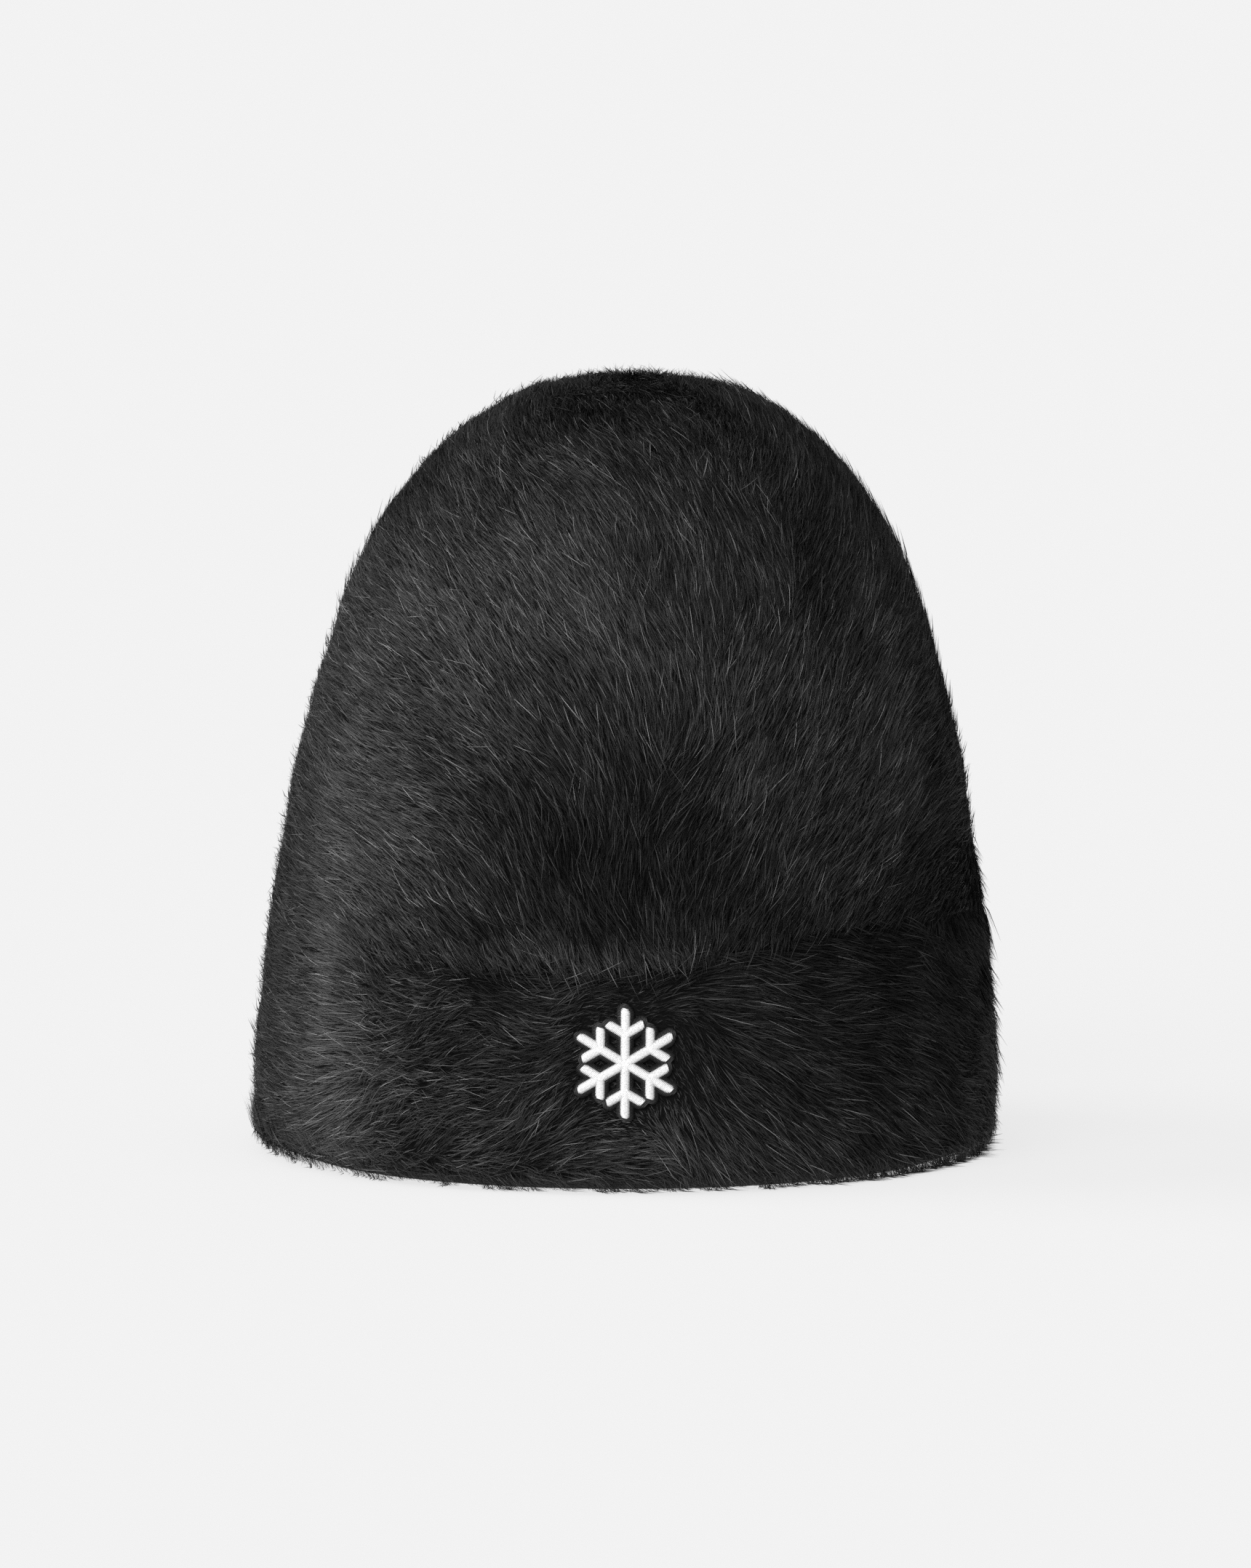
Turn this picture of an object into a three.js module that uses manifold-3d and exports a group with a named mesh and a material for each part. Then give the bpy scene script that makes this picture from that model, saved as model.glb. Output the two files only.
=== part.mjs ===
// Skullcap of deep brushed pile: a hollow knitted dome with a turned-up cuff
// and a small embroidered snowflake. Millimetres, +Z up. The cap stands on its
// rim, the front faces -Y, and the origin is the middle of the rim's plane.
// A bearing is the angle round the cap: 0 at the front, 90 degrees towards +X.
import * as THREE from "three";
import { mergeVertices } from "three/addons/utils/BufferGeometryUtils.js";
import Module from "manifold-3d";

const wasm = await Module();
wasm.setup();

// Driving dimensions: the wall
const DEPTH_RATIO = 1.14; // front to back over side to side, as a head is
const HEAD_HALF_WIDTH = 81; // inner face of the band
const BAND_TOP = 56; // the inner face is upright below this height
const BAND_HALF_WIDTH = 86; // outer face of the crown where the cuff covers it
const WALL = 8.5; // knit and matted pile, without the locks
const SEAT_GAP = 0.3; // between pieces that lie against each other
const LEAN = 2.2; // the apex stands this far towards +X

const HOLLOW_SIDES = 48;
const HOLLOW_STOPS = [0.06, 0.13, 0.21, 0.29, 0.37, 0.46, 0.55, 0.64, 0.75]; // along the outline

// Driving dimensions: the locks of pile
const LOCK_RELIEF = 2.5; // how far a lock's tip stands off the pile's base
const LOCK_SHARE = 0.84; // where in its tier a lock's tip ends
const LOCK_STRAY = 0.2; // and how much that varies
const LOCK_COLUMNS = 80; // two columns to a lock
const APEX_LIFT = 2; // the whorl at the apex is matted up to here
const CROWN_TIERS = 9;
const CUFF_TIERS = 3;
const CROWN_SWEEP = 0.55; // radians by which the locks are combed to the parting
const CUFF_SWEEP = 0.2; // radians by which the cuff's locks are combed to +X
const PARTING = THREE.MathUtils.degToRad(14); // bearing where the combing meets

// Driving dimensions: the cuff
const FOLD_TOP = 8; // the crown's lower edge stands on the fold here
const LIP_SETBACK = 4.5; // the rounded upper lip, from the outline
const LIP_DROP = 2.5;
const CREASE_RISE = 1; // the crown's pile starts this far above the lip
const REST_INNER = 82.5; // half width of the flat resting ring's inner edge
const REST_SETBACK = 5.5; // its outer edge, from the outline
const HEM_ROUNDING = [ // the cuff's lower edge, from the outline inward
  { height: 3.4, setback: 1.2 },
  { height: 1, setback: 2.8 },
];

// Driving dimensions: the embroidery
const EMBLEM_HEIGHT = 33; // its middle, above the rim
const EMBLEM_ARM = 12.6;
const EMBLEM_TWIG = 4.4;
const EMBLEM_TWIG_ROOT = 7.2; // how far out along its arm a twig starts
const EMBLEM_STITCH = 2.1; // width of the white satin bars
const EMBLEM_BORDER = 1.1; // dark stitching that shows round them
const CLEARING_FLAT = 24; // the pile lies flat round it, out to this distance
const CLEARING_EDGE = 30; // and stands full height from here
const GROUND_LOW = 0.35; // the dark ground, above the pile's base
const GROUND_HIGH = 1.15;
const STITCH_HIGH = 2.5;

// The cap's outline from the front, over the tips of the locks
const OUTLINE = [
  { height: 198.6, halfWidth: 0 },
  { height: 197.7, halfWidth: 13.5 },
  { height: 194.5, halfWidth: 27.5 },
  { height: 188, halfWidth: 40 },
  { height: 179, halfWidth: 51 },
  { height: 168, halfWidth: 60.2 },
  { height: 155, halfWidth: 68.4 },
  { height: 140, halfWidth: 74.9 },
  { height: 120, halfWidth: 80.9 },
  { height: 100, halfWidth: 86.1 },
  { height: 80, halfWidth: 89.3 },
  { height: 60, halfWidth: 92.3 },
  { height: 40, halfWidth: 94.3 },
  { height: 20, halfWidth: 95.7 },
  { height: 0, halfWidth: 95.2 },
];

// The cuff's upper edge: it was turned up further on the +X side
const CUFF_TOPS = [
  { bearing: -180, height: 60 },
  { bearing: -90, height: 56 },
  { bearing: 0, height: 56 },
  { bearing: 18, height: 60.5 },
  { bearing: 42, height: 65 },
  { bearing: 100, height: 65 },
  { bearing: 180, height: 60 },
];

// The hollows pressed into the crown by its own weight
const DENTS = [
  { x: -18, height: 92, halfWidth: 26, halfHeight: 24, depth: 5, front: true },
  { x: 34, height: 118, halfWidth: 20, halfHeight: 30, depth: 2, front: true },
  { x: 10, height: 96, halfWidth: 44, halfHeight: 26, depth: 4, front: false },
];

// A repeatable number from 0 to 1 for each pair of counts
function scatter(a, b) {
  const s = Math.sin(a * 12.9898 + b * 78.233) * 43758.5453;
  return s - Math.floor(s);
}

const outline = new THREE.SplineCurve(
  OUTLINE.map((row) => new THREE.Vector2(row.halfWidth, row.height)),
);
outline.arcLengthDivisions = 600;

// How far along the outline, from the apex as 0 to the rim as 1, a height lies
function shareAt(height) {
  let low = 0;
  let high = 1;
  for (let step = 0; step < 24; step++) {
    const middle = (low + high) / 2;
    if (outline.getPointAt(middle).y > height) low = middle;
    else high = middle;
  }
  return low;
}

function cuffTopAt(bearing) {
  const degrees = THREE.MathUtils.euclideanModulo(
    THREE.MathUtils.radToDeg(bearing) + 180, 360) - 180;
  const next = CUFF_TOPS.findIndex((row) => row.bearing > degrees);
  const a = CUFF_TOPS[next - 1];
  const b = CUFF_TOPS[next];
  const eased = THREE.MathUtils.smoothstep(degrees, a.bearing, b.bearing);
  return THREE.MathUtils.lerp(a.height, b.height, eased);
}

function dentDepth(point) {
  return DENTS.reduce((sum, dent) => {
    if (dent.front !== point.y < 0) return sum;
    const across = (point.x - dent.x) / dent.halfWidth;
    const up = (point.z - dent.height) / dent.halfHeight;
    return sum + dent.depth * Math.exp(-across * across - up * up);
  }, 0);
}

// A point of the cap's form: where on the outline, round which bearing, and
// how far off the pile's base, measured square to the outline
function formPoint(share, bearing, lift) {
  const at = outline.getPointAt(share);
  const along = outline.getTangentAt(share);
  const outward = lift - LOCK_RELIEF;
  const across = -along.y * outward;
  const rise = along.x * outward;
  const point = new THREE.Vector3(
    (at.x + across) * Math.sin(bearing),
    -(at.x * DEPTH_RATIO + across) * Math.cos(bearing),
    at.y + rise,
  );
  const dent = dentDepth(point);
  point.x -= dent * Math.sin(bearing) * -along.y;
  point.y += dent * Math.cos(bearing) * -along.y;
  const risen = THREE.MathUtils.smoothstep(point.z, FOLD_TOP, OUTLINE[0].height);
  point.x += LEAN * risen;
  return point;
}

// A point of a plain oval at one height
function ovalPoint(halfWidth, bearing, height) {
  return new THREE.Vector3(
    halfWidth * Math.sin(bearing),
    -halfWidth * DEPTH_RATIO * Math.cos(bearing),
    height,
  );
}

// Rings of points from the top down, closed by a fan to one point at each end.
// The quads between rings fold along alternate diagonals, which on rings of
// locks are the ones from root to root, when lockParity matches the rings.
function ringSolid(top, rings, bottom, lockParity = 0) {
  const count = rings[0].length;
  const points = [top, ...rings.flat(), bottom];
  const last = points.length - 1;
  const at = (ring, column) => 1 + ring * count + (column % count);
  const faces = [];
  for (let column = 0; column < count; column++) {
    faces.push(0, at(0, column), at(0, column + 1));
    for (let ring = 0; ring < rings.length - 1; ring++) {
      const [a, b] = [at(ring, column), at(ring, column + 1)];
      const [c, d] = [at(ring + 1, column), at(ring + 1, column + 1)];
      if ((ring + column + lockParity) % 2 === 0) faces.push(a, c, d, a, d, b);
      else faces.push(a, c, b, b, c, d);
    }
    faces.push(last, at(rings.length - 1, column + 1), at(rings.length - 1, column));
  }
  return solidOf(points.flatMap((p) => [p.x, p.y, p.z]), faces);
}

function solidOf(coordinates, faces) {
  return new wasm.Manifold(new wasm.Mesh({
    numProp: 3,
    vertProperties: new Float32Array(coordinates),
    triVerts: new Uint32Array(faces),
  }));
}

function meshOf(name, solid, material) {
  const result = solid.getMesh();
  const geometry = new THREE.BufferGeometry();
  geometry.setAttribute("position", new THREE.BufferAttribute(result.vertProperties, 3));
  geometry.setIndex(new THREE.BufferAttribute(result.triVerts, 1));
  geometry.computeVertexNormals();
  const mesh = new THREE.Mesh(geometry, material);
  mesh.name = name;
  return mesh;
}

// Every second column carries its locks half a tier lower, so that the locks
// overlap like shingles. Returns where along the tiers a ring's point lies and
// how far it stands off the base: low at a lock's root, high at its tip.
function lockStep(column, ring) {
  const tier = Math.floor(ring / 2);
  const shifted = column % 2 === 1;
  const tip = shifted === (ring % 2 === 0);
  const from = tier + (shifted ? 0.5 : 0) - (shifted && tip ? 1 : 0);
  const place = from + (tip ? LOCK_SHARE + LOCK_STRAY * (scatter(tier, column) - 0.5) : 0);
  const full = LOCK_RELIEF * (0.7 + 0.3 * scatter(column, tier));
  return { place, lift: tip ? full : 0 };
}

const evenRound = (count) => [...Array(count).keys()].map((i) => (2 * Math.PI * i) / count);
const columns = [...Array(LOCK_COLUMNS).keys()];
const evenBearings = evenRound(LOCK_COLUMNS);

// The crown's columns of locks run down from the apex and close on the parting
const crownBearing = (column, share) =>
  evenBearings[column] - CROWN_SWEEP * share * Math.sin(evenBearings[column] - PARTING);
const bandBearings = columns.map((column) => crownBearing(column, 1));

// The head's room, the same for the crown and for the fold of the cuff
function headHollow() {
  const rings = [];
  const round = evenRound(HOLLOW_SIDES);
  for (const share of HOLLOW_STOPS) {
    rings.push(round.map((bearing) => {
      const point = formPoint(share, bearing, -WALL);
      const limit = ovalPoint(HEAD_HALF_WIDTH, bearing, point.z);
      return Math.hypot(point.x, point.y) > limit.length() ? limit : point;
    }));
  }
  rings.push(round.map((bearing) => ovalPoint(HEAD_HALF_WIDTH, bearing, BAND_TOP)));
  rings.push(round.map((bearing) => ovalPoint(HEAD_HALF_WIDTH, bearing, -FOLD_TOP)));
  return ringSolid(
    formPoint(0, 0, -WALL),
    rings,
    new THREE.Vector3(0, 0, -FOLD_TOP),
  );
}

function crownSolid() {
  const rings = [];
  for (let ring = 1; ring < 2 * CROWN_TIERS; ring++) {
    rings.push(columns.map((column) => {
      const { place, lift } = lockStep(column, ring);
      const share = place / CROWN_TIERS;
      const bearing = crownBearing(column, share);
      const end = shareAt(cuffTopAt(bearing) + CREASE_RISE);
      const settled = Math.min(1, place);
      return formPoint(share * end, bearing, THREE.MathUtils.lerp(APEX_LIFT, lift, settled));
    }));
  }
  const hem = bandBearings.map((bearing) =>
    formPoint(shareAt(cuffTopAt(bearing) + CREASE_RISE), bearing, LOCK_RELIEF / 2));
  const underside = bandBearings.map((bearing) =>
    ovalPoint(BAND_HALF_WIDTH, bearing, cuffTopAt(bearing) + CREASE_RISE));
  const foot = bandBearings.map((bearing) => ovalPoint(BAND_HALF_WIDTH, bearing, FOLD_TOP));
  const outer = ringSolid(
    formPoint(0, 0, APEX_LIFT),
    [...rings, hem, underside, foot],
    new THREE.Vector3(0, 0, FOLD_TOP),
    1,
  );
  return outer.subtract(headHollow());
}

// How much of its height the pile keeps, which is none round the embroidery
function clipping(point) {
  const away = Math.hypot(point.x, point.z - EMBLEM_HEIGHT);
  return point.y < 0 ? THREE.MathUtils.smoothstep(away, CLEARING_FLAT, CLEARING_EDGE) : 1;
}

function cuffSolid() {
  const bearingAt = (column, share) => evenBearings[column] + CUFF_SWEEP * share;
  const heightAt = (bearing, share) =>
    THREE.MathUtils.lerp(cuffTopAt(bearing) - LIP_DROP, HEM_ROUNDING[0].height, share);
  const pile = [];
  for (let ring = 1; ring < 2 * CUFF_TIERS; ring++) {
    pile.push(columns.map((column) => {
      const { place, lift } = lockStep(column, ring);
      const share = place / CUFF_TIERS;
      const bearing = bearingAt(column, share);
      const at = shareAt(heightAt(bearing, share));
      const base = formPoint(at, bearing, 0);
      return formPoint(at, bearing, lift * clipping(base));
    }));
  }
  const lower = columns.map((column) => bearingAt(column, 1));
  const edge = (height) => outline.getPointAt(shareAt(height)).x;
  const lip = evenBearings.map((bearing) => {
    const height = cuffTopAt(bearing);
    return ovalPoint(edge(height) - LIP_SETBACK, bearing, height);
  });
  const lowRing = (setback, height) =>
    lower.map((bearing) => ovalPoint(edge(height) - setback, bearing, height));
  const rings = [
    evenBearings.map((bearing) => ovalPoint(HEAD_HALF_WIDTH, bearing, cuffTopAt(bearing))),
    lip,
    evenBearings.map((bearing) => {
      const at = shareAt(cuffTopAt(bearing) - LIP_DROP);
      const base = formPoint(at, bearing, 0);
      return formPoint(at, bearing, (LOCK_RELIEF / 2) * clipping(base));
    }),
    ...pile,
    ...HEM_ROUNDING.map((row) => lowRing(row.setback, row.height)),
    lowRing(REST_SETBACK, 0),
    lower.map((bearing) => ovalPoint(REST_INNER, bearing, 0)),
    lower.map((bearing) => ovalPoint(HEAD_HALF_WIDTH - 1, bearing, FOLD_TOP / 4)),
  ];
  const drum = ringSolid(
    new THREE.Vector3(0, 0, cuffTopAt(0)),
    rings,
    new THREE.Vector3(0, 0, FOLD_TOP / 4),
  );
  const room = [2 * cuffTopAt(0), FOLD_TOP - SEAT_GAP].map((height) =>
    bandBearings.map((bearing) => ovalPoint(BAND_HALF_WIDTH + SEAT_GAP, bearing, height)));
  const crownRoom = ringSolid(
    new THREE.Vector3(0, 0, room[0][0].z),
    room,
    new THREE.Vector3(0, 0, room[1][0].z),
  );
  return drum.subtract(crownRoom).subtract(headHollow());
}

// A bar of stitching bent round the cuff's front, from one point to another on
// the emblem's own face, where x is to the right and y is up
function stitchBar(from, to, width, low, high) {
  const length = from.distanceTo(to) + width;
  const steps = Math.ceil(length / EMBLEM_TWIG_ROOT);
  const bar = new THREE.BoxGeometry(length, width, high - low, steps);
  bar.deleteAttribute("normal");
  bar.deleteAttribute("uv");
  const middle = from.clone().add(to).multiplyScalar(0.5);
  bar.rotateZ(Math.atan2(to.y - from.y, to.x - from.x));
  bar.translate(middle.x, middle.y, (low + high) / 2);
  const merged = mergeVertices(bar);
  const flat = merged.getAttribute("position");
  const bent = [];
  for (let index = 0; index < flat.count; index++) {
    const share = shareAt(EMBLEM_HEIGHT + flat.getY(index));
    const bearing = flat.getX(index) / outline.getPointAt(share).x;
    const point = formPoint(share, bearing, flat.getZ(index));
    bent.push(point.x, point.y, point.z);
  }
  return solidOf(bent, merged.index.array);
}

// A six-armed snowflake, its arms 60 degrees apart with two twigs each
function snowflake(border, low, high) {
  const bars = [];
  const polar = (radius, angle) =>
    new THREE.Vector2(radius * Math.cos(angle), radius * Math.sin(angle));
  for (let arm = 0; arm < 6; arm++) {
    const angle = Math.PI / 6 + (arm * Math.PI) / 3;
    const width = EMBLEM_STITCH + 2 * border;
    bars.push(stitchBar(polar(0, 0), polar(EMBLEM_ARM, angle), width, low, high));
    const fork = polar(EMBLEM_TWIG_ROOT, angle);
    for (const side of [-1, 1]) {
      const end = polar(EMBLEM_TWIG, angle + (side * Math.PI) / 3).add(fork);
      bars.push(stitchBar(fork, end, width, low, high));
    }
  }
  return bars.reduce((whole, bar) => whole.add(bar));
}

const blackPile = new THREE.MeshStandardMaterial({ color: "#1a1a1b", roughness: 0.9 });
const blackKnit = new THREE.MeshStandardMaterial({ color: "#161617", roughness: 0.95 });
const blackThread = new THREE.MeshStandardMaterial({ color: "#121213", roughness: 0.6 });
const whiteThread = new THREE.MeshStandardMaterial({ color: "#eceae6", roughness: 0.45 });

const ground = snowflake(EMBLEM_BORDER, GROUND_LOW, GROUND_HIGH);
const stitching = snowflake(0, GROUND_HIGH + SEAT_GAP, STITCH_HIGH);

const cap = new THREE.Group();
cap.add(
  meshOf("crown", crownSolid(), blackKnit),
  meshOf("cuff", cuffSolid(), blackPile),
  meshOf("emblem_ground", ground, blackThread),
  meshOf("emblem_stitching", stitching, whiteThread),
);

export default cap;
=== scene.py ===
"""Looks of a skullcap of deep brushed pile: strands combed over a knitted wall,
and a snowflake in satin stitch on the turned-up cuff.

Shapes are worked out in millimetres, seen from the front as the cap stands: x to
the right, y to the back, z up. A bearing is the angle round the cap, 0 at the
front and a quarter turn at +x. A share is a place along the cap's outline, from
0 at the apex to 1 at the rim.
"""

import math

import bpy
import numpy as np
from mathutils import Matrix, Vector


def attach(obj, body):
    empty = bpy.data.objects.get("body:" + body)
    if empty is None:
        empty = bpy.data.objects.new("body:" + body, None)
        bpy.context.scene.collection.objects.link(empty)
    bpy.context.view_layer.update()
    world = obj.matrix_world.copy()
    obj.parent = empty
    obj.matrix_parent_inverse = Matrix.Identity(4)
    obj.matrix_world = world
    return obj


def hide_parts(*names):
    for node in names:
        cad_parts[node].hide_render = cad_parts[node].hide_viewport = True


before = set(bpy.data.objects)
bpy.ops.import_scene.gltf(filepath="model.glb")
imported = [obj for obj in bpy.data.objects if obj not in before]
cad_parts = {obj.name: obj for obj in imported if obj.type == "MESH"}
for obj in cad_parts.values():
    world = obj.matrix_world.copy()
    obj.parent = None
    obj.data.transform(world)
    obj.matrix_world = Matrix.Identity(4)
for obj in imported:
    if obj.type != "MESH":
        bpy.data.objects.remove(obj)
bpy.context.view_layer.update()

MM = 0.001

# The form, as the solids have it
DEPTH_RATIO = 1.14
HEAD_HALF_WIDTH = 81.0
BAND_HALF_WIDTH = 86.0
BAND_TOP = 56.0
WALL = 8.5
SEAT_GAP = 0.3
LEAN = 2.2
PILE_BASE = 2.5  # the pile grows this far inside the outline
FOLD_TOP = 8.0
LIP_DROP = 2.5
REST_INNER = 82.5
KNIT_DEPTH = 0.4  # the knit's surface, under the roots of the pile
EDGE_BEVEL = 1.5  # the walls' upper edges slope off over this height
LIP_START = 2.0  # the lip begins this far out from the band
LIP_ROUNDING = 0.8
LIP_SUNK = 2.0  # the lip's outer edge lies this far under the roots of the pile
CUFF_BOTTOM = 3.4  # the knit of the cuff turns in below this height, clear of the floor
UNDERSIDE = [(4.1, 3.2), (8.5, 1.4)]  # how far in from the outline's foot, and height
REST_BEVEL = 1.2  # height of the inner edge of the ring that the cap rests on

# height, half width
OUTLINE = np.array([
    (198.6, 0.0),
    (197.7, 13.5),
    (194.5, 27.5),
    (188.0, 40.0),
    (179.0, 51.0),
    (168.0, 60.2),
    (155.0, 68.4),
    (140.0, 74.9),
    (120.0, 80.9),
    (100.0, 86.1),
    (80.0, 89.3),
    (60.0, 92.3),
    (40.0, 94.3),
    (20.0, 95.7),
    (0.0, 95.2),
])

# bearing in degrees, height of the cuff's upper edge
CUFF_TOPS = np.array([
    (-180.0, 60.0),
    (-90.0, 56.0),
    (0.0, 56.0),
    (18.0, 60.5),
    (42.0, 65.0),
    (100.0, 65.0),
    (180.0, 60.0),
])

# x, height, half width, half height, depth, and the side that it is on
DENTS = [
    (-18.0, 92.0, 26.0, 24.0, 5.0, "front"),
    (34.0, 118.0, 20.0, 30.0, 2.0, "front"),
    (10.0, 96.0, 44.0, 26.0, 4.0, "back"),
]

# The combing as the front shows it: x and height, the strands' turn from
# straight down towards +x, how far they stand off the knit, and how far
# neighbouring tufts differ, all three in degrees
FRONT_COMB = [
    # upper crown
    (0.0, 196.5, 12.0, 8.0, 5.0),
    (-20.0, 194.0, 22.0, 8.0, 5.0),
    (22.0, 194.0, 12.0, 8.0, 5.0),
    (-12.0, 183.0, 42.0, 7.0, 5.0),
    (11.0, 189.0, 24.0, 8.0, 5.0),
    (-30.0, 181.0, 36.0, 6.0, 4.0),
    (-40.0, 185.0, 36.0, 5.0, 4.0),
    (-49.0, 171.0, 34.0, 5.0, 4.0),
    (18.0, 176.0, 22.0, 7.0, 5.0),
    (40.0, 184.0, 0.0, 5.0, 5.0),
    (48.0, 173.0, -8.0, 6.0, 5.0),
    (58.0, 168.0, -10.0, 5.0, 5.0),
    (26.0, 160.0, 9.0, 7.5, 5.0),
    (60.0, 154.0, -14.0, 5.0, 5.0),
    (72.0, 140.0, -20.0, 4.0, 5.0),
    # left flank of the crown
    (-57.0, 156.0, 44.0, 5.0, 3.0),
    (-42.0, 154.0, 47.0, 6.0, 3.0),
    (-64.0, 142.0, 54.0, 5.0, 3.0),
    (-79.0, 121.0, 57.0, 4.5, 3.0),
    (-64.0, 117.0, 66.0, 5.0, 3.0),
    (-44.0, 112.0, 52.0, 6.0, 4.0),
    (-86.0, 97.0, 65.0, 4.0, 3.0),
    (-56.0, 95.0, 66.0, 5.0, 3.0),
    (-42.0, 86.0, 48.0, 8.0, 5.0),
    (-79.0, 76.0, 64.0, 4.0, 3.0),
    (-84.0, 64.0, 68.0, 4.0, 3.0),
    (-60.0, 66.0, 58.0, 6.0, 4.0),
    (-44.0, 68.0, 46.0, 9.0, 6.0),
    # middle of the crown, down to its hollow
    (-24.0, 144.0, 41.0, 8.0, 4.0),
    (-9.0, 127.0, 23.0, 9.0, 5.0),
    (18.0, 142.0, 12.0, 9.0, 6.0),
    (16.0, 126.0, 6.0, 10.0, 6.0),
    (2.0, 112.0, 20.0, 12.0, 7.0),
    (19.0, 112.0, -44.0, 13.0, 8.0),
    (19.0, 98.0, -32.0, 16.0, 10.0),
    (17.0, 83.0, -10.0, 16.0, 11.0),
    (-27.0, 99.0, 24.0, 14.0, 7.0),
    (-28.0, 114.0, 34.0, 10.0, 5.0),
    (-12.0, 86.0, 22.0, 18.0, 10.0),
    (3.0, 84.0, 2.0, 17.0, 11.0),
    (-34.0, 75.0, 36.0, 13.0, 8.0),
    # right flank of the crown
    (30.0, 144.0, -6.0, 8.0, 6.0),
    (33.0, 112.0, -32.0, 9.0, 7.0),
    (33.0, 97.0, -42.0, 11.0, 8.0),
    (48.0, 138.0, -23.0, 7.0, 5.0),
    (63.0, 122.0, -26.0, 5.0, 5.0),
    (48.0, 103.0, -35.0, 8.0, 6.0),
    (78.0, 106.0, -40.0, 4.0, 4.0),
    (63.0, 80.0, -42.0, 7.0, 6.0),
    (85.0, 82.0, -52.0, 4.0, 4.0),
    (33.0, 82.0, -30.0, 14.0, 9.0),
    # the fringe over the cuff's edge
    (-27.0, 64.0, 44.0, 18.0, 10.0),
    (-9.0, 62.0, 42.0, 19.0, 11.0),
    (4.0, 62.0, 14.0, 19.0, 12.0),
    (18.0, 63.0, -2.0, 17.0, 12.0),
    (31.0, 66.0, -18.0, 14.0, 11.0),
    (55.0, 69.0, -36.0, 11.0, 9.0),
    (78.0, 70.0, -43.0, 6.0, 7.0),
    # left of the cuff
    (-86.0, 52.0, 74.0, 4.0, 3.0),
    (-83.0, 31.0, 86.0, 4.0, 3.0),
    (-80.0, 8.0, 114.0, 6.0, 4.0),
    (-56.0, 47.0, 80.0, 14.0, 12.0),
    (-38.0, 49.0, 72.0, 13.0, 10.0),
    (-52.0, 26.0, 82.0, 19.0, 20.0),
    (-34.0, 30.0, 92.0, 16.0, 16.0),
    (-49.0, 9.0, 110.0, 15.0, 14.0),
    (-27.0, 9.0, 118.0, 15.0, 14.0),
    (-10.0, 46.0, 100.0, 14.0, 12.0),
    (-12.0, 27.0, 112.0, 15.0, 12.0),
    (-5.0, 8.0, 114.0, 16.0, 12.0),
    # middle and right of the cuff
    (6.0, 50.0, 108.0, 12.0, 12.0),
    (25.0, 51.0, 98.0, 12.0, 11.0),
    (17.0, 38.0, 24.0, 12.0, 9.0),
    (17.0, 26.0, 24.0, 12.0, 9.0),
    (17.0, 10.0, 30.0, 14.0, 10.0),
    (33.0, 42.0, 84.0, 11.0, 10.0),
    (55.0, 47.0, 86.0, 9.0, 9.0),
    (78.0, 38.0, 48.0, 6.0, 8.0),
    (66.0, 25.0, 50.0, 8.0, 9.0),
    (48.0, 30.0, 62.0, 12.0, 10.0),
    (30.0, 27.0, 50.0, 10.0, 9.0),
    (33.0, 9.0, 34.0, 12.0, 10.0),
    (55.0, 8.0, 46.0, 11.0, 10.0),
    (85.0, 14.0, 50.0, 6.0, 7.0),
]

# The combing round the back: bearing and height, and as above, with the turn
# measured on the surface itself
BACK_COMB = [
    # both sides
    (-94.0, 150.0, 74.0, 5.0, 4.0),
    (-94.0, 118.0, 84.0, 5.0, 4.0),
    (-94.0, 80.0, 88.0, 5.0, 4.0),
    (-112.0, 120.0, 74.0, 7.0, 5.0),
    (-112.0, 80.0, 80.0, 7.0, 5.0),
    (92.0, 150.0, -44.0, 5.0, 4.0),
    (92.0, 118.0, -62.0, 5.0, 4.0),
    (92.0, 84.0, -68.0, 5.0, 4.0),
    (112.0, 120.0, -46.0, 8.0, 6.0),
    (112.0, 80.0, -50.0, 9.0, 7.0),
    # back of the crown
    (-135.0, 150.0, 36.0, 9.0, 6.0),
    (-135.0, 100.0, 48.0, 9.0, 7.0),
    (-160.0, 120.0, 18.0, 10.0, 8.0),
    (-165.0, 75.0, 14.0, 12.0, 9.0),
    (180.0, 196.5, 180.0, 8.0, 5.0),
    (180.0, 191.0, 172.0, 7.5, 5.0),
    (150.0, 184.0, 150.0, 7.0, 5.0),
    (-150.0, 184.0, 150.0, 7.0, 5.0),
    (180.0, 180.0, 110.0, 7.0, 5.0),
    (180.0, 168.0, 50.0, 8.0, 6.0),
    (180.0, 150.0, 6.0, 8.0, 7.0),
    (170.0, 100.0, -8.0, 11.0, 9.0),
    (145.0, 140.0, -24.0, 10.0, 7.0),
    (140.0, 80.0, -34.0, 10.0, 8.0),
    # back of the cuff
    (-120.0, 40.0, 84.0, 9.0, 8.0),
    (-120.0, 10.0, 98.0, 10.0, 10.0),
    (-160.0, 44.0, 66.0, 10.0, 10.0),
    (-160.0, 10.0, 62.0, 12.0, 12.0),
    (165.0, 44.0, 56.0, 11.0, 11.0),
    (160.0, 10.0, 44.0, 12.0, 12.0),
    (120.0, 44.0, 60.0, 11.0, 11.0),
    (120.0, 10.0, 52.0, 11.0, 11.0),
]
COMB_REACH = 11.0  # how near a row of the combing has its full say
COMB_FALLOFF = 3.0
OTHER_SIDE_SAY = 0.01  # what a row of the crown counts on the cuff, and the other way round
WIDEST_SHARE = 0.97  # a row further out than this share of the half width counts as there
LEAST_SLOPE = 0.25  # seen directions are not stretched further where the form turns away

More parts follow.
